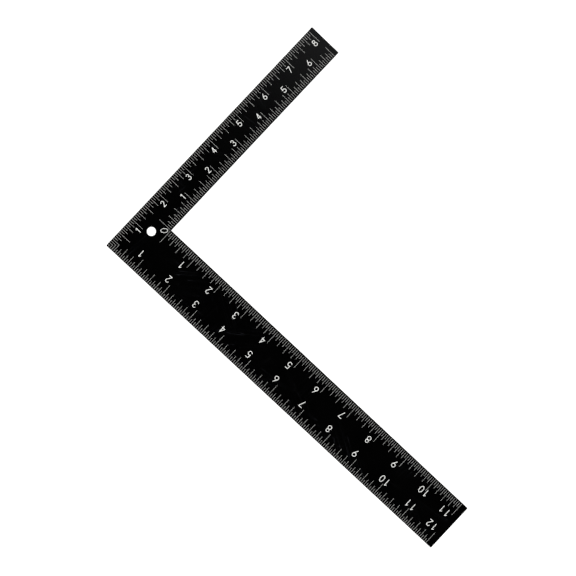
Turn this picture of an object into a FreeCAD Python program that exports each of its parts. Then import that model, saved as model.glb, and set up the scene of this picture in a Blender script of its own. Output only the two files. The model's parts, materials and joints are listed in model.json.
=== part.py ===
import FreeCAD, Part
import os
from math import acos, atan2, cos, degrees, floor, hypot, radians, sin

import Sketcher

# A carpenter's square: one flat steel plate in the shape of an L, marked in inches on both faces.
#
# The long leg is the blade and runs along +X. The short leg is the tongue and runs along +Y.
# The origin is the heel, the outer corner, on the back face. +Z points out of the front face.
# Every mark is a shallow groove in the plate that is filled flush with white paint, and each
# group of paint fills is a node of its own, because it is a separate material.

Vector = FreeCAD.Vector

# ---------------------------------------------------------------- driving dimensions, millimetres

DIMENSIONS = [
    # the plate
    ("blade_length", 310.0, "heel to the end of the blade"),
    ("blade_width", 38.1, "width of the blade"),
    ("tongue_length", 207.0, "heel to the end of the tongue"),
    ("tongue_width", 25.4, "width of the tongue"),
    ("plate_thickness", 1.6, "thickness of the sheet"),
    ("heel_radius", 0.8, "rounding of the heel in plan"),
    ("edge_ease", 0.12, "rounding of the edges of both faces"),
    # the hole that the square hangs by
    ("hang_hole_diameter", 6.35, "bore of the hole"),
    ("hang_hole_along_blade", 16.0, "hole centre from the tongue's outer edge"),
    ("hang_hole_along_tongue", 28.3, "hole centre from the blade's outer edge"),
    # the lines of the scales
    ("inch_size", 25.4, "one inch of every scale"),
    ("groove_depth", 0.12, "depth of the grooves, and thickness of their paint"),
    ("line_width", 0.18, "width of a scale line"),
    ("outer_line_gap", 0.2, "outer scales: bare strip between the edge and the lines"),
    ("inner_line_gap", 0.85, "inner scales: bare strip between the edge and the lines"),
    ("blade_outer_inch_line", 10.0, "blade, outer scale: end of an inch line, from the edge"),
    ("blade_outer_half_line", 8.1, "blade, outer scale: end of a half-inch line, from the edge"),
    ("blade_outer_quarter_line", 7.1, "blade, outer scale: end of a quarter-inch line, from the edge"),
    ("blade_outer_eighth_line", 5.1, "blade, outer scale: end of an eighth line, from the edge"),
    ("blade_outer_sixteenth_line", 3.2, "blade, outer scale: end of a sixteenth line, from the edge"),
    ("blade_inner_inch_line", 11.3, "blade, inner scale: end of an inch line, from the edge"),
    ("blade_inner_half_line", 9.3, "blade, inner scale: end of a half-inch line, from the edge"),
    ("blade_inner_quarter_line", 8.2, "blade, inner scale: end of a quarter-inch line, from the edge"),
    ("blade_inner_eighth_line", 6.3, "blade, inner scale: end of an eighth line, from the edge"),
    ("blade_inner_sixteenth_line", 4.4, "blade, inner scale: end of a sixteenth line, from the edge"),
    ("tongue_outer_inch_line", 10.5, "tongue, outer scale: end of an inch line, from the edge"),
    ("tongue_outer_half_line", 8.6, "tongue, outer scale: end of a half-inch line, from the edge"),
    ("tongue_outer_quarter_line", 7.5, "tongue, outer scale: end of a quarter-inch line, from the edge"),
    ("tongue_outer_eighth_line", 5.6, "tongue, outer scale: end of an eighth line, from the edge"),
    ("tongue_outer_sixteenth_line", 3.7, "tongue, outer scale: end of a sixteenth line, from the edge"),
    ("tongue_inner_inch_line", 11.0, "tongue, inner scale: end of an inch line, from the edge"),
    ("tongue_inner_half_line", 9.0, "tongue, inner scale: end of a half-inch line, from the edge"),
    ("tongue_inner_quarter_line", 8.0, "tongue, inner scale: end of a quarter-inch line, from the edge"),
    ("tongue_inner_eighth_line", 6.1, "tongue, inner scale: end of an eighth line, from the edge"),
    ("tongue_inner_sixteenth_line", 4.25, "tongue, inner scale: end of a sixteenth line, from the edge"),
    ("heel_line_count", 4, "sixteenth lines that meet in pairs at the heel"),
    # the numerals of the scales
    ("numeral_stroke", 0.46, "width of a numeral's stroke"),
    ("digit_pitch", 4.7, "centre distance of the two digits of one number"),
    ("pair_lead", 0.6, "centre of a two-digit number to its line, on the heel's side"),
    ("end_pair_lead", 5.4, "the same for the last number of a scale"),
    ("blade_numeral_height", 5.3, "height of a blade numeral"),
    ("blade_numeral_width", 3.1, "width of a blade numeral"),
    ("blade_numeral_lead", 3.7, "numeral centre to its line, on the heel's side"),
    ("blade_outer_numeral_depth", 12.35, "numeral centre from the blade's outer edge"),
    ("blade_inner_numeral_depth", 12.5, "numeral centre from the blade's inner edge"),
    ("tongue_numeral_height", 4.6, "height of a tongue numeral"),
    ("tongue_numeral_width", 2.75, "width of a tongue numeral"),
    ("tongue_numeral_lead", 3.0, "numeral centre to its line, on the heel's side"),
    ("tongue_outer_numeral_depth", 9.05, "numeral centre from the tongue's outer edge"),
    ("tongue_inner_numeral_depth", 10.0, "numeral centre from the tongue's inner edge"),
    # the shared zero beside the inner corner
    ("corner_zero_height", 5.2, "long axis of the zero, along the corner's bisector"),
    ("corner_zero_width", 3.2, "short axis of the zero"),
    ("corner_zero_stroke", 0.36, "width of the zero's stroke"),
    ("corner_zero_distance", 4.7, "inner corner to the zero's centre"),
]

document = FreeCAD.newDocument("carpenters_square")
sheet = document.addObject("Spreadsheet::Sheet", "sizes")
for row, (alias, value, meaning) in enumerate(DIMENSIONS, start=1):
    sheet.set(f"A{row}", meaning)
    sheet.set(f"B{row}", str(value))
    sheet.setAlias(f"B{row}", alias)
document.recompute()


def size(alias):
    """The value of one driving dimension, in millimetres."""
    return float(sheet.get(alias))


# ---------------------------------------------------------------- sketches and pads


def origin_feature(body, role):
    """One of a body's own origin planes or axes."""
    return next(f for f in body.Origin.OriginFeatures if f.Role == role)


def flat_sketch(body, name, height):
    """An empty sketch parallel to the plate, at a height given as an expression."""
    sketch = body.newObject("Sketcher::SketchObject", name)
    sketch.AttachmentSupport = (origin_feature(body, "XY_Plane"), [""])
    sketch.MapMode = "FlatFace"
    sketch.setExpression("AttachmentOffset.Base.z", height)
    return sketch


def closed_outline(sketch, corners):
    """Draws a closed outline of upright and level lines through the corners."""
    count = len(corners)
    for i in range(count):
        sketch.addGeometry(Part.LineSegment(corners[i], corners[(i + 1) % count]))
    for i in range(count):
        sketch.addConstraint(Sketcher.Constraint("Coincident", i, 2, (i + 1) % count, 1))
        direction = "Horizontal" if i % 2 == 0 else "Vertical"
        sketch.addConstraint(Sketcher.Constraint(direction, i))


# the (line, end) point at a sketch's origin
SKETCH_ORIGIN = (-1, 1)
# any length, until the constraint's expression sets it
FIRST_GUESS = 1.0


def distance(sketch, kind, first, second, expression):
    """A DistanceX or DistanceY between two (line, end) points, bound to an expression."""
    index = sketch.addConstraint(Sketcher.Constraint(kind, *first, *second, FIRST_GUESS))
    sketch.setExpression(f"Constraints[{index}]", expression)


def rectangle(body, name, height, across, up):
    """A sketch of one rectangle. across and up are (start, extent) pairs of expressions."""
    sketch = flat_sketch(body, name, height)
    closed_outline(sketch, [Vector(0, 0), Vector(1, 0), Vector(1, 1), Vector(0, 1)])
    distance(sketch, "DistanceX", SKETCH_ORIGIN, (0, 1), across[0])
    distance(sketch, "DistanceY", SKETCH_ORIGIN, (0, 1), up[0])
    distance(sketch, "DistanceX", (0, 1), (0, 2), across[1])
    distance(sketch, "DistanceY", (1, 1), (1, 2), up[1])
    return sketch


def pad(body, sketch, name, length):
    """Pads a sketch upwards by an expression."""
    feature = body.newObject("PartDesign::Pad", name)
    feature.Profile = sketch
    feature.setExpression("Length", length)
    body.Tip = feature
    return feature


# ---------------------------------------------------------------- the steel plate

# two places closer than this are the same
SAME_PLACE = 1e-6


def plate_edges(shape, wanted):
    """Names of the edges of a shape whose middle point passes the test."""
    names = []
    for number, edge in enumerate(shape.Edges, start=1):
        middle = edge.valueAt((edge.FirstParameter + edge.LastParameter) / 2)
        if wanted(middle):
            names.append(f"Edge{number}")
    return names


def at_the_heel(place):
    """Is a place on the upright edge of the heel?"""
    return abs(place.x) + abs(place.y) < SAME_PLACE


def on_a_face(place):
    """Is a place on the front or the back face?"""
    return min(abs(place.z), abs(place.z - size("plate_thickness"))) < SAME_PLACE


def build_blank():
    """The bare L-shaped plate: profile, hanging hole, rounded heel and eased edges."""
    body = document.addObject("PartDesign::Body", "plate_blank")

    profile = flat_sketch(body, "blank_profile", "0")
    closed_outline(
        profile,
        [
            Vector(0, 0),
            Vector(3, 0),
            Vector(3, 1),
            Vector(1, 1),
            Vector(1, 2),
            Vector(0, 2),
        ],
    )
    profile.addConstraint(Sketcher.Constraint("Coincident", 0, 1, *SKETCH_ORIGIN))
    distance(profile, "DistanceX", (0, 1), (0, 2), "sizes.blade_length")
    distance(profile, "DistanceY", (0, 2), (1, 2), "sizes.blade_width")
    distance(profile, "DistanceX", (5, 1), (4, 1), "sizes.tongue_width")
    distance(profile, "DistanceY", (0, 1), (4, 2), "sizes.tongue_length")
    sheet_metal = pad(body, profile, "blank_sheet", "sizes.plate_thickness")
    document.recompute()

    heel = body.newObject("PartDesign::Fillet", "heel_rounding")
    heel.Base = (sheet_metal, plate_edges(sheet_metal.Shape, at_the_heel))
    heel.setExpression("Radius", "sizes.heel_radius")
    body.Tip = heel

    centre = flat_sketch(body, "hang_hole_centre", "0")
    centre.addGeometry(Part.Circle(Vector(0, 0), Vector(0, 0, 1), FIRST_GUESS))
    distance(centre, "DistanceX", SKETCH_ORIGIN, (0, 3), "sizes.hang_hole_along_blade")
    distance(centre, "DistanceY", SKETCH_ORIGIN, (0, 3), "sizes.hang_hole_along_tongue")
    index = centre.addConstraint(Sketcher.Constraint("Diameter", 0, FIRST_GUESS))
    centre.setExpression(f"Constraints[{index}]", "sizes.hang_hole_diameter")
    document.recompute()
    before = body.Shape.Volume
    hole = body.newObject("PartDesign::Pocket", "hang_hole")
    hole.Profile = centre
    hole.Type = "ThroughAll"
    hole.Reversed = True
    body.Tip = hole
    document.recompute()
    if body.Shape.Volume >= before:
        raise RuntimeError("the hanging hole cuts nothing")

    ease = body.newObject("PartDesign::Fillet", "edge_easing")
    ease.Base = (hole, plate_edges(hole.Shape, on_a_face))
    ease.setExpression("Radius", "sizes.edge_ease")
    body.Tip = ease
    return body


# ---------------------------------------------------------------- the lines of the scales

SIXTEENTHS_PER_INCH = 16
PITCH = f"sizes.inch_size / {SIXTEENTHS_PER_INCH}"

# kind of line, its first place and its step, both counted in sixteenths from the scale's zero
LINE_KINDS = [
    ("inch", 16, 16),
    ("half", 8, 16),
    ("quarter", 4, 8),
    ("eighth", 2, 4),
    ("sixteenth", 1, 2),
]

# the height where the grooves of each face start
GROOVE_FLOOR = {
    "front": "sizes.plate_thickness - sizes.groove_depth",
    "back": "0",
}

# kinds of line on each face: the front is divided in sixteenths and the back in eighths
FACE_KINDS = {"front": LINE_KINDS, "back": LINE_KINDS[:4]}

# the last whole inch that fits on each leg, as an expression
WHOLE_INCHES = {
    "blade": "floor(sizes.blade_length / sizes.inch_size)",
    "tongue": "floor(sizes.tongue_length / sizes.inch_size)",
}
# a sixteenth line that falls on the end of a scale, within this share of a pitch, is kept
END_SLACK = 0.01

OTHER_LEG_WIDTH = {"blade": "sizes.tongue_width", "tongue": "sizes.blade_width"}


def scale_start(leg, side):
    """Where a scale's zero lies along its leg: at the heel, or at the inner corner."""
    return "0" if side == "outer" else OTHER_LEG_WIDTH[leg]


def scale_sixteenths(leg, side):
    """How many sixteenths a scale holds, as an expression."""
    if side == "outer":
        return f"{WHOLE_INCHES[leg]} * {SIXTEENTHS_PER_INCH}"
    length = f"({WHOLE_INCHES[leg]} * sizes.inch_size - {OTHER_LEG_WIDTH[leg]})"
    return f"floor({length} / ({PITCH}) + {END_SLACK})"


def line_span(leg, side, kind):
    """(start, length) of a line across its leg, as expressions."""
    length = f"sizes.{leg}_{side}_{kind}_line - sizes.{side}_line_gap"
    if side == "outer":
        return "sizes.outer_line_gap", length
    return f"sizes.{leg}_width - sizes.{leg}_inner_{kind}_line", length


# the tongue's outer scale starts with a half-inch line that is as long as an inch line
LONG_HALF_LINE = ("tongue", "half")
HALF_INCH_PLACE = 8


def first_place(leg, side, kind, first, step):
    """The first place of a kind of line. The heel's own lines take the first places outside."""
    if side == "inner":
        return 0 if kind == "inch" else first
    taken = int(size("heel_line_count"))
    if (leg, kind) == LONG_HALF_LINE:
        taken = HALF_INCH_PLACE
    while first <= taken:
        first += step
    return first


def paint_body(name):
    """A body that holds one group of separate paint fills."""
    body = document.addObject("PartDesign::Body", name)
    body.AllowCompound = True
    return body


def build_scale_lines(face, leg, side):
    """All the lines of one scale: a pattern of equal lines for each kind of line."""
    body = paint_body(f"{face}_{leg}_{side}_lines")
    axis = origin_feature(body, "X_Axis" if leg == "blade" else "Y_Axis")
    for kind, usual_first, step in FACE_KINDS[face]:
        first = first_place(leg, side, kind, usual_first, step)
        along = (
            f"{scale_start(leg, side)} + {first} * {PITCH} - sizes.line_width / 2",
            "sizes.line_width",
        )
        across = line_span(leg, side, kind)
        spans = (along, across) if leg == "blade" else (across, along)
        label = f"{body.Name}_{kind}"
        sketch = rectangle(body, f"{label}_outline", GROOVE_FLOOR[face], *spans)
        line = pad(body, sketch, f"{label}_line", "sizes.groove_depth")
        document.recompute()
        pattern = body.newObject("PartDesign::LinearPattern", f"{label}_pattern")
        pattern.Originals = [line]
        pattern.Direction = (axis, [""])
        pattern.Mode = "Spacing"
        pattern.setExpression("Offset", f"{step} * {PITCH}")
        last = f"({scale_sixteenths(leg, side)} - {first})"
        pattern.setExpression("Occurrences", f"floor({last} / {step}) + 1")
        body.Tip = pattern
    return body


def build_heel_lines(face, step):
    """The first lines of the outer scales, which meet in nested corners, and the long half-inch line."""
    body = paint_body(f"{face}_heel_lines")
    for place in range(step, int(size("heel_line_count")) + 1, step):
        middle = f"{place} * {PITCH}"
        beside = (f"{middle} - sizes.line_width / 2", "sizes.line_width")
        reach = (
            "sizes.outer_line_gap",
            f"{middle} + sizes.line_width / 2 - sizes.outer_line_gap",
        )
        for leg, spans in (("blade", (beside, reach)), ("tongue", (reach, beside))):
            name = f"{body.Name}_{leg}_{place}"
            sketch = rectangle(body, f"{name}_outline", GROOVE_FLOOR[face], *spans)
            pad(body, sketch, f"{name}_line", "sizes.groove_depth")
            document.recompute()
    beside = (f"{HALF_INCH_PLACE} * {PITCH} - sizes.line_width / 2", "sizes.line_width")
    name = f"{body.Name}_long_half"
    across = line_span("tongue", "outer", "inch")
    sketch = rectangle(body, f"{name}_outline", GROOVE_FLOOR[face], across, beside)
    pad(body, sketch, f"{name}_line", "sizes.groove_depth")
    return body


# ---------------------------------------------------------------- numerals drawn with one round pen


class Pen:
    """Draws the flat outline of a numeral's strokes.

    A numeral is drawn in its own box, with u to the right, v up and the origin at its centre.
    right is the direction of u in the plate's plane and up is that of v.
    """

    def __init__(self, centre, right, up, width, height, stroke):
        self.centre = centre
        self.right = right
        self.up = up
        self.half_width = (width - stroke) / 2
        self.half_height = (height - stroke) / 2
        self.radius = stroke / 2

    def point(self, u, v):
        """The place of a point of the numeral's box."""
        return self.centre + self.right * u + self.up * v

    def around(self, centre, radius, angle):
        """The point of a circle at an angle in degrees, from u towards v."""
        turn = radians(angle)
        return centre[0] + radius * cos(turn), centre[1] + radius * sin(turn)

    def dot(self, place):
        """The pen's round mark."""
        circle = Part.Circle(self.point(*place), Vector(0, 0, 1), self.radius)
        return Part.Face(Part.Wire(circle.toShape()))

    def line(self, *places):
        """Straight strokes through the places, with round ends and joints."""
        faces = [self.dot(place) for place in places]
        for start, end in zip(places, places[1:]):
            a, b = self.point(*start), self.point(*end)
            side = (b - a).cross(Vector(0, 0, 1)).normalize() * self.radius
            corners = [a + side, b + side, b - side, a - side, a + side]
            faces.append(Part.Face(Part.makePolygon(corners)))
        return faces

    def arc(self, centre, radius, start, end):
        """A stroke along a circle, between two angles in degrees."""
        middle = (start + end) / 2
        rims = []
        for reach in (radius + self.radius, radius - self.radius):
            places = [self.around(centre, reach, angle) for angle in (start, middle, end)]
            rims.append([self.point(*place) for place in places])
        (a, b, c), (d, e, f) = rims
        edges = [
            Part.Arc(a, b, c).toShape(),
            Part.LineSegment(c, f).toShape(),
            Part.Arc(f, e, d).toShape(),
            Part.LineSegment(d, a).toShape(),
        ]
        ends = [self.dot(self.around(centre, radius, angle)) for angle in (start, end)]
        return [Part.Face(Part.Wire(edges))] + ends

    def ring(self, centre, across, along):
        """A closed oval stroke with the half axes across and along. Equal ones make a circle."""
        middle = self.point(*centre)
        wires = []
        for grow in (self.radius, -self.radius):
            if across == along:
                curve = Part.Circle(middle, Vector(0, 0, 1), across + grow)
            else:
                tip = middle + self.up * (along + grow)
                flank = middle + self.right * (across + grow)
                curve = Part.Ellipse(tip, flank, middle)
            wires.append(Part.Wire(curve.toShape()))
        return [Part.Face(wires[0]).cut(Part.Face(wires[1]))]


def tangent_angle(centre, radius, place, sign):
    """The angle in degrees where a line from a place outside a circle touches it."""
    du, dv = place[0] - centre[0], place[1] - centre[1]
    return degrees(atan2(dv, du) + sign * acos(radius / hypot(du, dv)))


def draw_zero(pen):
    """A tall oval."""
    return pen.ring((0, 0), pen.half_width, pen.half_height)


def draw_one(pen):
    """A stem with a short flag at its top."""
    w, h = pen.half_width, pen.half_height
    stem = 0.35 * w
    flag_tip = (stem - 0.8 * w, 0.6 * h)
    return pen.line(flag_tip, (stem, h), (stem, -h))


def draw_two(pen):
    """A round top that runs on as a straight diagonal to a flat foot."""
    w, h = 0.88 * pen.half_width, pen.half_height
    centre = (0, h - w)
    foot = (-w, -h)
    leaves = tangent_angle(centre, w, foot, 1)
    touch = pen.around(centre, w, leaves)
    return pen.arc(centre, w, 165, leaves) + pen.line(touch, foot, (w, -h))


def draw_three(pen):
    """Two open bowls, the lower one larger."""
    w, h = pen.half_width, pen.half_height
    lower = w
    upper = h - lower
    top = pen.arc((0, h - upper), upper, 155, -90)
    bottom = pen.arc((0, lower - h), lower, 90, -155)
    return top + bottom


def draw_four(pen):
    """A closed triangle on a stem that stands right of the middle."""
    w, h = pen.half_width, pen.half_height
    stem = 0.4 * w
    bar = -0.45 * h
    bar_end = 0.85 * w
    return pen.line((stem, -h), (stem, h), (-w, bar), (bar_end, bar))


def draw_five(pen):
    """A flat top, a short leaning stem and an open bowl."""
    w, h = pen.half_width, pen.half_height
    radius = 1.05 * w
    bowl = (w - radius, radius - h)
    bowl_start = 140
    joint = pen.around(bowl, radius, bowl_start)
    shoulder = (-0.55 * w, h)
    bar_end = (0.85 * w, h)
    return pen.arc(bowl, radius, bowl_start, -150) + pen.line(joint, shoulder, bar_end)


def draw_six(pen):
    """A round bowl under a straight leaning stem."""
    w, h = pen.half_width, pen.half_height
    bowl = (0, w - h)
    tip = (0.45 * w, h)
    touch = pen.around(bowl, w, tangent_angle(bowl, w, tip, 1))
    return pen.ring(bowl, w, w) + pen.line(touch, tip)


def draw_seven(pen):
    """A flat top and a straight diagonal."""
    w, h = pen.half_width, pen.half_height
    return pen.line((-w, h), (w, h), (-0.45 * w, -h))


def draw_eight(pen):
    """Two stacked rings, the upper one smaller."""
    w, h = pen.half_width, pen.half_height
    lower = w
    upper = h - lower
    return pen.ring((0, h - upper), upper, upper) + pen.ring((0, lower - h), lower, lower)


def draw_nine(pen):
    """A six turned upside down."""
    w, h = pen.half_width, pen.half_height
    bowl = (0, h - w)
    tip = (-0.45 * w, -h)
    touch = pen.around(bowl, w, tangent_angle(bowl, w, tip, 1))
    return pen.ring(bowl, w, w) + pen.line(touch, tip)


DRAW = [
    draw_zero,
    draw_one,
    draw_two,
    draw_three,
    draw_four,
    draw_five,
    draw_six,
    draw_seven,
    draw_eight,
    draw_nine,
]


def add_feature(name, solids):
    """A document object that holds a group of separate solids."""
    feature = document.addObject("Part::Feature", name)
    feature.Shape = Part.Compound(solids)
    return feature


def paint_fill(faces):
    """One solid of paint from the faces of a numeral's strokes, which may overlap."""
    strokes = [face.extrude(Vector(0, 0, size("groove_depth"))) for face in faces]
    first, rest = strokes[0], strokes[1:]
    fill = first.fuse(rest).removeSplitter() if rest else first
    return fill.Solids


# the directions of a numeral's right and up on each face and leg, so that it reads on that face:
# its top points at the outer edge of its leg
READING = {
    ("front", "blade"): (Vector(-1, 0, 0), Vector(0, -1, 0)),
    ("front", "tongue"): (Vector(0, 1, 0), Vector(-1, 0, 0)),
    ("back", "blade"): (Vector(1, 0, 0), Vector(0, -1, 0)),
    ("back", "tongue"): (Vector(0, -1, 0), Vector(-1, 0, 0)),
}

ALONG = {"blade": Vector(1, 0, 0), "tongue": Vector(0, 1, 0)}
ACROSS = {"blade": Vector(0, 1, 0), "tongue": Vector(1, 0, 0)}


def groove_floor(face):
    """The height where the grooves of a face start."""
    if face == "front":
        return Vector(0, 0, size("plate_thickness") - size("groove_depth"))
    return Vector(0, 0, 0)


def build_scale_numerals(face, leg, side):
    """The numerals of one scale, each just on the heel's side of its inch line."""
    inch = size("inch_size")
    last_inch = floor(size(f"{leg}_length") / inch)
    start = 0.0
    depth = size(f"{leg}_outer_numeral_depth")
    if side == "inner":
        start = size("tongue_width") if leg == "blade" else size("blade_width")
        depth = size(f"{leg}_width") - size(f"{leg}_inner_numeral_depth")
    right, up = READING[face, leg]
    digit_pitch = size("digit_pitch")
    last_number = floor((last_inch * inch - start) / inch + END_SLACK)
    solids = []
    for number in range(1, last_number + 1):
        digits = [int(letter) for letter in str(number)]
        line = start + number * inch
        lead = size(f"{leg}_numeral_lead")
        if len(digits) > 1:
            # two digits stand one on each side of their line, unless the scale ends there
            lead = size("end_pair_lead" if number == last_number else "pair_lead")
        middle = line - lead
        centre = ALONG[leg] * middle + ACROSS[leg] * depth + groove_floor(face)
        for place, digit in enumerate(digits):
            offset = (place - (len(digits) - 1) / 2) * digit_pitch
            pen = Pen(
                centre + right * offset,
                right,
                up,
                size(f"{leg}_numeral_width"),
                size(f"{leg}_numeral_height"),
                size("numeral_stroke"),
            )
            solids += paint_fill(DRAW[digit](pen))
    return add_feature(f"{face}_{leg}_{side}_numerals", solids)


def build_corner_zero(face):
    """The zero that both inner scales share, beside the inner corner and along its bisector."""
    inward = Vector(-1, -1, 0).normalize()
    corner = Vector(size("tongue_width"), size("blade_width"), 0)
    pen = Pen(
        corner + inward * size("corner_zero_distance") + groove_floor(face),
        Vector(-inward.y, inward.x, 0),
        inward,
        size("corner_zero_width"),
        size("corner_zero_height"),
        size("corner_zero_stroke"),
    )
    return add_feature(f"{face}_corner_zero", paint_fill(draw_zero(pen)))


# ---------------------------------------------------------------- the engraved plate

# how far the engraved plate's volume may be off, as a share of the blank's
VOLUME_SLACK = 1e-6


def level_faces(shape, height):
    """The faces of a shape that lie flat at a height."""
    found = []
    for face in shape.Faces:
        box = face.BoundBox
        if abs(box.ZMin - height) < SAME_PLACE and abs(box.ZMax - height) < SAME_PLACE:
            found.append(face)
    return found


def is_among(face, faces):
    """Is a face one of the faces, as the same piece of geometry?"""
    return any(face.isSame(other) for other in faces)


def engraved(blank, fills_at):
    """The blank as a solid with a groove under every paint fill.

    fills_at maps the height of each face of the plate to the fills that are flush with it. A groove
    takes over the floor and the walls of its own fill, so steel and paint meet exactly. The plate's
    face is opened by the fills' outlines, and what stands inside a ring-shaped fill stays as a face.
    A boolean cut gives the same solid, but takes minutes with so many grooves.
    """
    marked = {height: level_faces(blank, height)[0] for height in fills_at}
    faces = [face for face in blank.Faces if not is_among(face, marked.values())]
    for height, fills in fills_at.items():
        openings = []
        for fill in fills:
            tops = level_faces(fill, height)
            faces += [face.reversed() for face in fill.Faces if not is_among(face, tops)]
            for top in tops:
                outline = top.OuterWire
                openings.append(outline.reversed())
                islands = [wire for wire in top.Wires if not wire.isSame(outline)]
                faces += [Part.Face(wire) for wire in islands]
        face = marked[height].copy()
        face.cutHoles(openings)
        faces.append(face)
    skin = Part.Compound(faces)
    skin.sewShape()
    solid = Part.Solid(skin.Shells[0])
    steel = blank.Volume - sum(fill.Volume for fills in fills_at.values() for fill in fills)
    if abs(solid.Volume - steel) > VOLUME_SLACK * blank.Volume:
        raise RuntimeError("the grooves of the plate don't hold the paint's volume")
    return solid


# ---------------------------------------------------------------- assembly, checks and export

FACE_HEIGHT = {"front": size("plate_thickness"), "back": 0.0}

blank = build_blank()
paint = []
for face in ("front", "back"):
    paint.append(build_heel_lines(face, step=FACE_KINDS[face][-1][1]))
    for leg in ("blade", "tongue"):
        for side in ("outer", "inner"):
            paint.append(build_scale_lines(face, leg, side))
            paint.append(build_scale_numerals(face, leg, side))
    paint.append(build_corner_zero(face))
document.recompute()

fills_at = {height: [] for height in FACE_HEIGHT.values()}
for group in paint:
    face = group.Label.split("_")[0]
    fills_at[FACE_HEIGHT[face]] += group.Shape.Solids
plate = add_feature("square_plate", [engraved(blank.Shape, fills_at)])
document.recompute()

for item in document.Objects:
    if "Invalid" in item.State or "Error" in item.State:
        raise RuntimeError(f"{item.Label} failed: {item.State}")

os.makedirs("parts", exist_ok=True)
for item in [plate] + paint:
    if item.Shape.isNull() or not item.Shape.isValid():
        raise RuntimeError(f"{item.Label} has no valid shape")
    item.Shape.exportStep(f"parts/{item.Label}.step")
    print(item.Label, "solids", len(item.Shape.Solids), "volume", round(item.Shape.Volume, 3))
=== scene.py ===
import json
import logging
import math
from dataclasses import dataclass, field
from enum import Enum
from typing import Any

import bpy
import numpy as np
from mathutils import Matrix, Vector


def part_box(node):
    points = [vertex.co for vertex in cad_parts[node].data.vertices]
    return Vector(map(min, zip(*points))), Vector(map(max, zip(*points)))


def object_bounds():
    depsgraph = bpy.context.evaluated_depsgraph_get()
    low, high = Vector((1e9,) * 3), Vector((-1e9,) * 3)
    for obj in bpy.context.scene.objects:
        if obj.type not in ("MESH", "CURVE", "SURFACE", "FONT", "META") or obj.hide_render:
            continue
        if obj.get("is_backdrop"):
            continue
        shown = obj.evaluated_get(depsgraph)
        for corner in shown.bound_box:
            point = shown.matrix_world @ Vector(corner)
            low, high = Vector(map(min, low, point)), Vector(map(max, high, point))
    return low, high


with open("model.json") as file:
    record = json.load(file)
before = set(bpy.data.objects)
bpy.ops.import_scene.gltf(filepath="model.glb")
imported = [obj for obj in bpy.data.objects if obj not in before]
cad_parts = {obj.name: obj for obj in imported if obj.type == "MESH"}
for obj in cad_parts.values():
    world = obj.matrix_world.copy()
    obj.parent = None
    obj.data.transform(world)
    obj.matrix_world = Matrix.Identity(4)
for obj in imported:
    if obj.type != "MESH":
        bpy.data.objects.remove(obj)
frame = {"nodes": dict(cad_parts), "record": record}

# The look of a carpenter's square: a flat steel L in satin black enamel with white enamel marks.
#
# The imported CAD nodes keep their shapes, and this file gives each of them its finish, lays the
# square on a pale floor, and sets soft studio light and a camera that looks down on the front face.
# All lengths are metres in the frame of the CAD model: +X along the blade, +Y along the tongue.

log = logging.getLogger("carpenters_square")

MM = 0.001
PLATE_NODE = "square_plate"
NOISE_ROUGHNESS = 0.55
NOISE_MIDDLE = 0.5


class Slot(Enum):
    """The record's material slots."""

    BLACK = "black_paint"
    WHITE = "white_paint"


# ------------------------------------------------------------------------------- node helpers


def linear(hex_colour: str) -> tuple[float, float, float, float]:
    """Turns an sRGB hex colour into the linear colour that a shader takes.

    Args:
        hex_colour: six hex digits after a hash sign.

    Returns:
        Linear red, green, blue, and an alpha of 1.
    """
    values = (int(hex_colour[i : i + 2], 16) / 255 for i in (1, 3, 5))
    curve = (v / 12.92 if v <= 0.04045 else ((v + 0.055) / 1.055) ** 2.4 for v in values)
    return (*curve, 1.0)


def add_node(
    tree: bpy.types.NodeTree, kind: str, inputs: dict[str | int, Any] | None = None, **settings: Any
) -> bpy.types.Node:
    """Adds one node with its settings, values and links.

    Args:
        tree: the node tree that gets the node.
        kind: the node's type name.
        inputs: for each input, by name or number, a value or the socket that feeds it.
        **settings: the node's own attributes.

    Returns:
        The new node.
    """
    node = tree.nodes.new(kind)
    for name, value in settings.items():
        setattr(node, name, value)
    for name, source in (inputs or {}).items():
        if isinstance(source, bpy.types.NodeSocket):
            tree.links.new(source, node.inputs[name])
        else:
            node.inputs[name].default_value = source
    return node


def new_material(name: str) -> tuple[bpy.types.Material, bpy.types.NodeTree]:
    """Makes an empty node material.

    Args:
        name: the finish's name.

    Returns:
        The material and its node tree.
    """
    material = bpy.data.materials.new(name)
    material.use_nodes = True
    material.node_tree.nodes.clear()
    return material, material.node_tree


def noise(
    tree: bpy.types.NodeTree, place: bpy.types.NodeSocket, grain_mm: float, detail: float
) -> bpy.types.NodeSocket:
    """Adds a soft random pattern.

    Args:
        tree: the node tree.
        place: the coordinates that the pattern reads, in metres.
        grain_mm: the real size of one grain, in millimetres.
        detail: how many finer layers lie over the grain.

    Returns:
        The pattern's value, about 0.5 on average.
    """
    inputs = {
        "Vector": place,
        "Scale": 1 / (grain_mm * MM),
        "Detail": detail,
        "Roughness": NOISE_ROUGHNESS,
    }
    return add_node(tree, "ShaderNodeTexNoise", inputs).outputs["Fac"]


def ramp(
    tree: bpy.types.NodeTree,
    value: bpy.types.NodeSocket,
    source: tuple[float, float],
    target: tuple[float, float] = (0.0, 1.0),
) -> bpy.types.NodeSocket:
    """Maps a value's range onto another, and clamps it there.

    Args:
        tree: the node tree.
        value: the value to map.
        source: the value's low and high ends.
        target: what those ends become.

    Returns:
        The mapped value.
    """
    ends = dict(zip(("From Min", "From Max", "To Min", "To Max"), (*source, *target)))
    return add_node(tree, "ShaderNodeMapRange", {"Value": value, **ends}).outputs["Result"]


def math_node(
    tree: bpy.types.NodeTree, operation: str, *values: bpy.types.NodeSocket | float
) -> bpy.types.NodeSocket:
    """Adds one step of arithmetic and returns its result."""
    return add_node(
        tree, "ShaderNodeMath", dict(enumerate(values)), operation=operation
    ).outputs[0]


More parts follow.
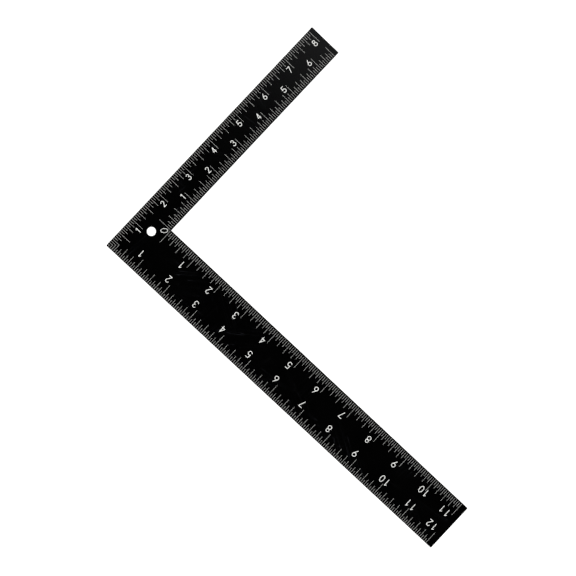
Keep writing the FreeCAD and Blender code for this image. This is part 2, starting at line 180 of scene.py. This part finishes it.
def mixed(
    tree: bpy.types.NodeTree,
    share: bpy.types.NodeSocket,
    first: bpy.types.NodeSocket | tuple[float, ...],
    second: bpy.types.NodeSocket | tuple[float, ...],
) -> bpy.types.NodeSocket:
    """Mixes two colours by a share.

    Args:
        tree: the node tree.
        share: 0 for the first colour and 1 for the second.
        first: a linear colour, or the socket that gives one.
        second: the same for the other colour.

    Returns:
        The mixed colour.
    """
    # the mix node has a pair of inputs and an output for each data type: colours are 6, 7 and 2
    mix = add_node(tree, "ShaderNodeMix", {0: share, 6: first, 7: second}, data_type="RGBA")
    return mix.outputs[2]


@dataclass(frozen=True)
class PlateOutline:
    """The plate's outline in plan, a long leg along X and a short leg along Y, in metres.

    Attributes:
        blade_length: from the heel to the end of the long leg.
        tongue_length: from the heel to the end of the short leg.
        blade_width: width of the long leg.
        tongue_width: width of the short leg.
        hole_place: centre of the hanging hole.
        hole_radius: radius of the hanging hole.
    """

    blade_length: float
    tongue_length: float
    blade_width: float
    tongue_width: float
    hole_place: tuple[float, float]
    hole_radius: float

    @classmethod
    def from_frame(cls) -> "PlateOutline":
        """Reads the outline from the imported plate's box and from the mounts on its edges.

        Returns:
            The outline.
        """
        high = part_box(PLATE_NODE)[1]
        mounts = {mount["name"]: mount for mount in frame["record"]["mounts"]}
        hole = mounts["hang_hole"]
        return cls(
            blade_length=high.x,
            tongue_length=high.y,
            blade_width=mounts["blade_inner_edge"]["pos_m"][1],
            tongue_width=mounts["tongue_inner_edge"]["pos_m"][0],
            hole_place=tuple(hole["pos_m"][:2]),
            hole_radius=hole["dims"]["r_mm"] * MM,
        )

    def edge_distance(
        self, tree: bpy.types.NodeTree, place: bpy.types.NodeSocket
    ) -> bpy.types.NodeSocket:
        """Measures how far a place on a face is from the nearest edge of the plate.

        It is the least of the distances to the four outer edges, to the inner corner and to the
        hole. A place is outside the inner corner's quarter by the larger of its distances to the
        two inner edges.

        Args:
            tree: the node tree.
            place: the coordinates of the place, in metres.

        Returns:
            The distance in metres.
        """
        parts = add_node(tree, "ShaderNodeSeparateXYZ", {0: place}).outputs
        x, y = parts[0], parts[1]
        flat = add_node(tree, "ShaderNodeCombineXYZ", {0: x, 1: y}).outputs[0]
        to_hole = add_node(
            tree,
            "ShaderNodeVectorMath",
            {0: flat, 1: (*self.hole_place, 0.0)},
            operation="DISTANCE",
        ).outputs["Value"]
        inner = math_node(
            tree,
            "MAXIMUM",
            math_node(tree, "SUBTRACT", self.tongue_width, x),
            math_node(tree, "SUBTRACT", self.blade_width, y),
        )
        nearest = math_node(tree, "MINIMUM", x, y)
        for distance in (
            math_node(tree, "SUBTRACT", self.blade_length, x),
            math_node(tree, "SUBTRACT", self.tongue_length, y),
            math_node(tree, "SUBTRACT", to_hole, self.hole_radius),
            inner,
        ):
            nearest = math_node(tree, "MINIMUM", nearest, distance)
        return nearest


# ------------------------------------------------------------------------------- finishes


@dataclass(frozen=True)
class BakedBlackEnamel:
    """Satin black stoving enamel, sprayed on sheet steel and baked.

    It is nearly black with a soft sheen. The spray leaves an orange peel, which is drawn deeper
    than the real one so that it shows. Work leaves hairline scratches in loose patches and makes
    the surface a little smoother along the legs. The film is worn through in broken spots along
    the edges and round the hole, where bare steel shows.

    Of each noise pattern, *_mm is the real size of a grain, *_detail the number of finer layers
    over it, *_stretch how many times longer than wide it is, *_angles its directions in degrees
    from +X, and *_levels the part of its range that it works over.

    Attributes:
        outline: the plate's outline, which tells where the edges are.
        name: the material's name.
        film: the enamel.
        dusty: the enamel under a trace of dust.
        scratched: the enamel in a scratch.
        steel: bare steel.
        steel_rougher: what bare steel adds to the roughness.
        sheen: lowest and highest roughness of the enamel.
        ior: index of refraction of the enamel.
        grit_share: height of the grit over the height of the peel.
        relief_mm: height of the peel, and depth of a worn spot.
        relief_strength: share of the relief that the shading takes.
        rub_smoother: what a rub takes off the roughness.
        scratch_width: how far from its middle value the noise still counts as a scratch.
        wear_mm: how far in from an edge the film is easily worn.
        wear_hold: how much higher the noise must be there to wear the film through.
    """

    outline: PlateOutline
    name: str = "baked_black_enamel"
    film: str = "#010101"
    dusty: str = "#020202"
    scratched: str = "#1e1f22"
    steel: str = "#86888b"
    steel_rougher: float = 0.18
    sheen: tuple[float, float] = (0.17, 0.22)
    ior: float = 1.5
    mottle_mm: float = 38.0
    mottle_detail: float = 3.0
    sheen_levels: tuple[float, float] = (0.3, 0.7)
    dust_levels: tuple[float, float] = (0.35, 0.7)
    peel_mm: float = 0.9
    peel_detail: float = 1.0
    grit_mm: float = 0.22
    grit_share: float = 0.25
    relief_mm: float = 0.02
    relief_strength: float = 0.6
    rub_mm: float = 9.0
    rub_detail: float = 8.0
    rub_stretch: float = 20.0
    rub_angles: tuple[float, float] = (0.0, 90.0)
    rub_levels: tuple[float, float] = (0.58, 0.78)
    rub_smoother: float = 0.04
    scratch_mm: float = 3.0
    scratch_detail: float = 1.0
    scratch_stretch: float = 28.0
    scratch_angles: tuple[float, ...] = (7.0, 84.0, 38.0, -31.0)
    scratch_width: float = 0.005
    patch_mm: float = 22.0
    patch_detail: float = 2.0
    patch_stretch: float = 2.0
    patch_levels: tuple[float, float] = (0.55, 0.63)
    chip_mm: float = 1.5
    chip_detail: float = 5.0
    chip_levels: tuple[float, float] = (0.6, 0.63)
    wear_mm: float = 0.75
    wear_hold: float = 0.3

    def stretched(
        self, tree: bpy.types.NodeTree, place: bpy.types.NodeSocket, angle: float, stretch: float
    ) -> bpy.types.NodeSocket:
        """Turns coordinates and draws them out along their first axis.

        Args:
            tree: the node tree.
            place: the coordinates, in metres.
            angle: degrees from +X towards +Y.
            stretch: how many times longer a pattern becomes.

        Returns:
            The new coordinates.
        """
        inputs = {
            "Vector": place,
            "Rotation": (0.0, 0.0, math.radians(angle)),
            "Scale": (stretch, 1.0, 1.0),
        }
        return add_node(tree, "ShaderNodeMapping", inputs, vector_type="TEXTURE").outputs[0]

    def scratches(
        self, tree: bpy.types.NodeTree, place: bpy.types.NodeSocket
    ) -> bpy.types.NodeSocket:
        """Draws hairlines where a drawn-out noise crosses its middle value, in loose patches.

        Args:
            tree: the node tree.
            place: the coordinates, in metres.

        Returns:
            1 on a scratch and 0 elsewhere.
        """
        lines: bpy.types.NodeSocket | float = 0.0
        for angle in self.scratch_angles:
            drawn = self.stretched(tree, place, angle, self.scratch_stretch)
            level = noise(tree, drawn, self.scratch_mm, self.scratch_detail)
            above = math_node(tree, "SUBTRACT", level, NOISE_MIDDLE)
            away = math_node(tree, "ABSOLUTE", above)
            line = ramp(tree, away, (0.0, self.scratch_width), (1.0, 0.0))
            loose = self.stretched(tree, place, angle, self.patch_stretch)
            patches = noise(tree, loose, self.patch_mm, self.patch_detail)
            patch = ramp(tree, patches, self.patch_levels)
            lines = math_node(tree, "MAXIMUM", lines, math_node(tree, "MULTIPLY", line, patch))
        return lines

    def worn_through(
        self, tree: bpy.types.NodeTree, place: bpy.types.NodeSocket
    ) -> bpy.types.NodeSocket:
        """Finds the spots where the film is gone: a noise over a level that rises inwards.

        Args:
            tree: the node tree.
            place: the coordinates, in metres.

        Returns:
            1 on bare steel and 0 on enamel.
        """
        chips = noise(tree, place, self.chip_mm, self.chip_detail)
        distance = self.outline.edge_distance(tree, place)
        hold = ramp(tree, distance, (0.0, self.wear_mm * MM), (0.0, self.wear_hold))
        return ramp(tree, math_node(tree, "SUBTRACT", chips, hold), self.chip_levels)

    def smoothness(
        self, tree: bpy.types.NodeTree, place: bpy.types.NodeSocket
    ) -> bpy.types.NodeSocket:
        """Finds how much the rubs along the two legs take off the roughness.

        Args:
            tree: the node tree.
            place: the coordinates, in metres.

        Returns:
            The roughness to take off.
        """
        rubs = [
            noise(
                tree,
                self.stretched(tree, place, angle, self.rub_stretch),
                self.rub_mm,
                self.rub_detail,
            )
            for angle in self.rub_angles
        ]
        strongest = math_node(tree, "MAXIMUM", *rubs)
        return ramp(tree, strongest, self.rub_levels, (0.0, self.rub_smoother))

    def make(self) -> bpy.types.Material:
        """Builds the material.

        Returns:
            The material.
        """
        material, tree = new_material(self.name)
        place = add_node(tree, "ShaderNodeTexCoord").outputs["Object"]
        mottle = noise(tree, place, self.mottle_mm, self.mottle_detail)
        bare = self.worn_through(tree, place)

        dust = ramp(tree, mottle, self.dust_levels)
        film = mixed(tree, dust, linear(self.film), linear(self.dusty))
        marred = mixed(tree, self.scratches(tree, place), film, linear(self.scratched))
        colour = mixed(tree, bare, marred, linear(self.steel))

        satin = ramp(tree, mottle, self.sheen_levels, self.sheen)
        rubbed = math_node(tree, "SUBTRACT", satin, self.smoothness(tree, place))
        steel_extra = math_node(tree, "MULTIPLY", bare, self.steel_rougher)
        roughness = math_node(tree, "ADD", rubbed, steel_extra)

        peel = noise(tree, place, self.peel_mm, self.peel_detail)
        grit = noise(tree, place, self.grit_mm, detail=0.0)
        grain = math_node(tree, "MULTIPLY", grit, self.grit_share)
        relief = math_node(tree, "SUBTRACT", math_node(tree, "ADD", peel, grain), bare)
        bump = add_node(
            tree,
            "ShaderNodeBump",
            {
                "Height": relief,
                "Strength": self.relief_strength,
                "Distance": self.relief_mm * MM,
            },
        )
        shader = add_node(
            tree,
            "ShaderNodeBsdfPrincipled",
            {
                "Base Color": colour,
                "Metallic": bare,
                "Roughness": roughness,
                "IOR": self.ior,
                "Normal": bump.outputs["Normal"],
            },
        )
        add_node(tree, "ShaderNodeOutputMaterial", {"Surface": shader.outputs[0]})
        return material


@dataclass(frozen=True)
class MarkingEnamel:
    """Matt white enamel wiped into the grooves of the marks.

    It is a warm white with a dull surface, a little uneven where the wipe left more or less of it.
    A narrow groove holds a thin layer, so the fine lines come out greyer than the numerals. The
    sizes are named as in BakedBlackEnamel.
    """

    name: str = "white_marking_enamel"
    full: str = "#f6f6f2"
    thin: str = "#c6c6c0"
    ior: float = 1.5
    dullness: float = 0.55
    cover_mm: float = 1.6
    cover_detail: float = 4.0
    cover_levels: tuple[float, float] = (0.5, 0.72)
    grain_mm: float = 0.25
    grain_detail: float = 2.0
    grain_height_mm: float = 0.008
    grain_strength: float = 0.5

    def make(self) -> bpy.types.Material:
        """Builds the material.

        Returns:
            The material.
        """
        material, tree = new_material(self.name)
        place = add_node(tree, "ShaderNodeTexCoord").outputs["Object"]
        cover = ramp(
            tree, noise(tree, place, self.cover_mm, self.cover_detail), self.cover_levels
        )
        grain = noise(tree, place, self.grain_mm, self.grain_detail)
        bump = add_node(
            tree,
            "ShaderNodeBump",
            {
                "Height": grain,
                "Strength": self.grain_strength,
                "Distance": self.grain_height_mm * MM,
            },
        )
        shader = add_node(
            tree,
            "ShaderNodeBsdfPrincipled",
            {
                "Base Color": mixed(tree, cover, linear(self.full), linear(self.thin)),
                "Roughness": self.dullness,
                "IOR": self.ior,
                "Normal": bump.outputs["Normal"],
            },
        )
        add_node(tree, "ShaderNodeOutputMaterial", {"Surface": shader.outputs[0]})
        return material


@dataclass(frozen=True)
class LightTable:
    """A matt white acrylic table with lamps under it. Seen from below it lets the view through.

    The sheet is a little cloudy, and its lamps make it glow evenly.
    """

    name: str = "light_table"
    sheet: str = "#f2f2f1"
    cloud: str = "#ececea"
    cloud_mm: float = 60.0
    cloud_detail: float = 3.0
    lamps: float = 0.85
    dullness: float = 0.95

    def make(self) -> bpy.types.Material:
        """Builds the material.

        Returns:
            The material.
        """
        material, tree = new_material(self.name)
        place = add_node(tree, "ShaderNodeTexCoord").outputs["Object"]
        clouds = noise(tree, place, self.cloud_mm, self.cloud_detail)
        shader = add_node(
            tree,
            "ShaderNodeBsdfPrincipled",
            {
                "Base Color": mixed(tree, clouds, linear(self.sheet), linear(self.cloud)),
                "Roughness": self.dullness,
                "Emission Color": linear(self.sheet),
                "Emission Strength": self.lamps,
            },
        )
        below = add_node(tree, "ShaderNodeNewGeometry").outputs["Backfacing"]
        clear = add_node(tree, "ShaderNodeBsdfTransparent")
        either = add_node(
            tree, "ShaderNodeMixShader", {0: below, 1: shader.outputs[0], 2: clear.outputs[0]}
        )
        add_node(tree, "ShaderNodeOutputMaterial", {"Surface": either.outputs[0]})
        return material


# ------------------------------------------------------------------------------- the square


def dress(piece: bpy.types.Object, material: bpy.types.Material) -> None:
    """Gives a piece one finish.

    Args:
        piece: a CAD node's object.
        material: its finish.
    """
    piece.data.materials.clear()
    piece.data.materials.append(material)


@dataclass
class SteelPlate:
    """The stamped L with its hanging hole. Its shape is the CAD node's own."""

    outline: PlateOutline = field(default_factory=PlateOutline.from_frame)

    def build(self) -> None:
        """Dresses the plate."""
        enamel = BakedBlackEnamel(self.outline)
        dress(frame["nodes"][PLATE_NODE], enamel.make())
        low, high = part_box(PLATE_NODE)
        extent = (high - low) / MM
        log.info("%s: %.1f x %.1f x %.1f mm", PLATE_NODE, *extent)


@dataclass
class PaintedMarks:
    """The paint fills of the scales on both faces. Their shapes are the CAD nodes' own."""

    broad: MarkingEnamel = field(default_factory=MarkingEnamel)
    fine: MarkingEnamel = MarkingEnamel("thin_marking_enamel", full="#bcbcb8", thin="#92928e")
    fine_groups: str = "lines"

    def build(self) -> None:
        """Dresses every group of fills."""
        broad, fine = self.broad.make(), self.fine.make()
        for name, piece in frame["nodes"].items():
            if name == PLATE_NODE:
                continue
            material = fine if name.endswith(self.fine_groups) else broad
            dress(piece, material)
            log.info("%s: %s", name, material.name)


# ------------------------------------------------------------------------------- the studio


def sky_direction(azimuth: float, tilt: float) -> Vector:
    """The direction from the square to a place in the room.

    Args:
        azimuth: degrees from +X towards +Y.
        tilt: degrees from straight overhead.

    Returns:
        The direction, of length 1.
    """
    around, lean = math.radians(azimuth), math.radians(tilt)
    level = math.sin(lean)
    return Vector((math.cos(around) * level, math.sin(around) * level, math.cos(lean)))


@dataclass(frozen=True)
class Softbox:
    """A soft rectangular light that looks at the middle of the square.

    Attributes:
        name: the light's name.
        azimuth: where it stands round the square, in degrees from +X towards +Y.
        tilt: how far it leans from straight overhead, in degrees.
        distance: metres from the square.
        size: width and height in metres.
        power: watts.
    """

    name: str
    azimuth: float
    tilt: float = 50.0
    distance: float = 1.6
    size: tuple[float, float] = (1.2, 0.8)
    power: float = 9.6

    def build(self, aim: Vector) -> None:
        """Makes the light.

        Args:
            aim: the point that it looks at.
        """
        lamp = bpy.data.lights.new(self.name, "AREA")
        lamp.shape = "RECTANGLE"
        lamp.size, lamp.size_y = self.size
        lamp.energy = self.power
        way = sky_direction(self.azimuth, self.tilt)
        light = bpy.data.objects.new(self.name, lamp)
        light.location = aim + way * self.distance
        light.rotation_euler = (-way).to_track_quat("-Z", "Y").to_euler()
        # the lamps light the marks, but no image of a lamp shows in the gloss of the flat plate
        light.visible_glossy = False
        bpy.context.scene.collection.objects.link(light)
        log.info("%s: %.0f W", self.name, self.power)


@dataclass
class Studio:
    """A pale floor, soft lights and a camera that looks down on the front face.

    Attributes:
        table: the floor's finish.
        floor_radius: metres from the middle of the floor to its rim.
        floor_rings: number of rings of faces.
        floor_spokes: number of faces round a ring.
        floor_gap: how far the floor lies under the square, in metres.
        wall: the colour of the room near the horizon.
        ceiling: its colour overhead.
        ceiling_heights: where the walls begin to darken and where the ceiling's colour is reached,
            as the sine of the angle above the horizon.
        room_strength: brightness of the room.
        glow_azimuth: where the ceiling glows, in degrees from +X towards +Y.
        glow_tilt: how far the glow is from straight overhead, in degrees.
        glow_reach: degrees from the middle of the glow to its rim.
        glow_share: how far the middle of the glow is from the ceiling's colour to the walls'.
        camera_lens: focal length in millimetres.
        camera_place: where the camera is, in metres.
        camera_turn: degrees that it is turned round the vertical.
        camera_lean: degrees that it leans round its own sideways and upright axes.
        boxes: the lights.
    """

    table: LightTable = field(default_factory=LightTable)
    floor_radius: float = 6.0
    floor_rings: int = 24
    floor_spokes: int = 96
    floor_gap: float = 0.1 * MM
    wall: str = "#e8eaec"
    ceiling: str = "#000000"
    ceiling_heights: tuple[float, float] = (0.1, 0.85)
    room_strength: float = 0.9
    glow_azimuth: float = 112.0
    glow_tilt: float = 24.0
    glow_reach: float = 13.4
    glow_share: float = 0.65
    camera_lens: float = 50.0
    camera_place: tuple[float, float, float] = (0.0887, 0.0594, 0.5564)
    camera_turn: float = 43.2
    camera_lean: tuple[float, float] = (-1.23, -2.06)
    boxes: tuple[Softbox, ...] = (
        Softbox("far_softbox", azimuth=133.0),
        Softbox("left_softbox", azimuth=223.0),
        Softbox("near_softbox", azimuth=313.0),
        Softbox("right_softbox", azimuth=43.0),
    )

    def make_floor(self) -> None:
        """Makes the floor: a disc whose rings widen as the square of their number."""
        share = (np.arange(self.floor_rings + 1) / self.floor_rings) ** 2
        angle = np.arange(self.floor_spokes) * 2 * np.pi / self.floor_spokes
        radius, turn = np.meshgrid(share[1:] * self.floor_radius, angle, indexing="ij")
        low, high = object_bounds()
        middle = (low + high) / 2
        rim = np.stack(
            (
                middle.x + radius * np.cos(turn),
                middle.y + radius * np.sin(turn),
                np.full_like(radius, low.z - self.floor_gap),
            ),
            axis=-1,
        ).reshape(-1, 3)
        hub = np.array([[middle.x, middle.y, low.z - self.floor_gap]])
        points = np.vstack((hub, rim))
        spoke = np.arange(self.floor_spokes)
        beside = (spoke + 1) % self.floor_spokes
        fan = np.stack((np.zeros_like(spoke), spoke + 1, beside + 1), axis=-1)
        ring = np.arange(self.floor_rings - 1)[:, None] * self.floor_spokes + 1
        bands = np.stack(
            (
                ring + spoke,
                ring + self.floor_spokes + spoke,
                ring + self.floor_spokes + beside,
                ring + beside,
            ),
            axis=-1,
        ).reshape(-1, 4)
        mesh = bpy.data.meshes.new("floor")
        mesh.from_pydata(points.tolist(), [], fan.tolist() + bands.tolist())
        mesh.materials.append(self.table.make())
        floor = bpy.data.objects.new("floor", mesh)
        bpy.context.scene.collection.objects.link(floor)
        floor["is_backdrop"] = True

    def make_room(self) -> None:
        """Makes the light of a pale room with a dark ceiling.

        The walls are pale near the horizon and fall off to a dark ceiling, which the flat plate
        mirrors when it is seen from straight above. One soft glow on the ceiling fades from its
        middle to its rim, and gives the far end of the tongue its sheen.
        """
        world = bpy.data.worlds.new("pale_room")
        world.use_nodes = True
        tree = world.node_tree
        tree.nodes.clear()
        way = add_node(tree, "ShaderNodeTexCoord").outputs["Generated"]
        up = add_node(tree, "ShaderNodeSeparateXYZ", {0: way}).outputs[2]
        ceiling = ramp(tree, up, self.ceiling_heights)
        toward = add_node(
            tree,
            "ShaderNodeVectorMath",
            {0: way, 1: sky_direction(self.glow_azimuth, self.glow_tilt)},
            operation="DOT_PRODUCT",
        ).outputs["Value"]
        edge = math.cos(math.radians(self.glow_reach))
        glow = ramp(tree, toward, (edge, 1.0), (0.0, self.glow_share))
        reflected = math_node(tree, "SUBTRACT", ceiling, glow)
        # the camera itself sees only the pale walls, also where it looks up from below
        seen = add_node(tree, "ShaderNodeLightPath").outputs["Is Camera Ray"]
        unseen = math_node(tree, "SUBTRACT", 1.0, seen)
        darkness = math_node(tree, "MULTIPLY", reflected, unseen)
        colour = mixed(tree, darkness, linear(self.wall), linear(self.ceiling))
        light = add_node(
            tree, "ShaderNodeBackground", {"Color": colour, "Strength": self.room_strength}
        )
        add_node(tree, "ShaderNodeOutputWorld", {"Surface": light.outputs[0]})
        bpy.context.scene.world = world

    def make_camera(self) -> None:
        """Makes a camera straight above the front face, turned so that the heel is at its left."""
        lens = bpy.data.cameras.new("camera")
        lens.lens = self.camera_lens
        camera = bpy.data.objects.new("camera", lens)
        turn = Matrix.Rotation(math.radians(self.camera_turn), 4, "Z")
        lean = Matrix.Rotation(math.radians(self.camera_lean[0]), 4, "X")
        side = Matrix.Rotation(math.radians(self.camera_lean[1]), 4, "Y")
        camera.matrix_world = Matrix.Translation(self.camera_place) @ turn @ lean @ side
        bpy.context.scene.collection.objects.link(camera)
        bpy.context.scene.camera = camera

    def build(self) -> None:
        """Makes the whole studio."""
        self.make_floor()
        self.make_room()
        self.make_camera()
        low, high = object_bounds()
        for box in self.boxes:
            box.build((low + high) / 2)
        bpy.context.scene.view_settings.view_transform = "Standard"
        log.info("studio: %d softboxes", len(self.boxes))


def main() -> None:
    """Builds the square and its studio."""
    logging.basicConfig(level=logging.INFO, format="%(name)s: %(message)s")
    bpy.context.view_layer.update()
    SteelPlate().build()
    PaintedMarks().build()
    Studio().build()


if __name__ == "__main__":
    main()
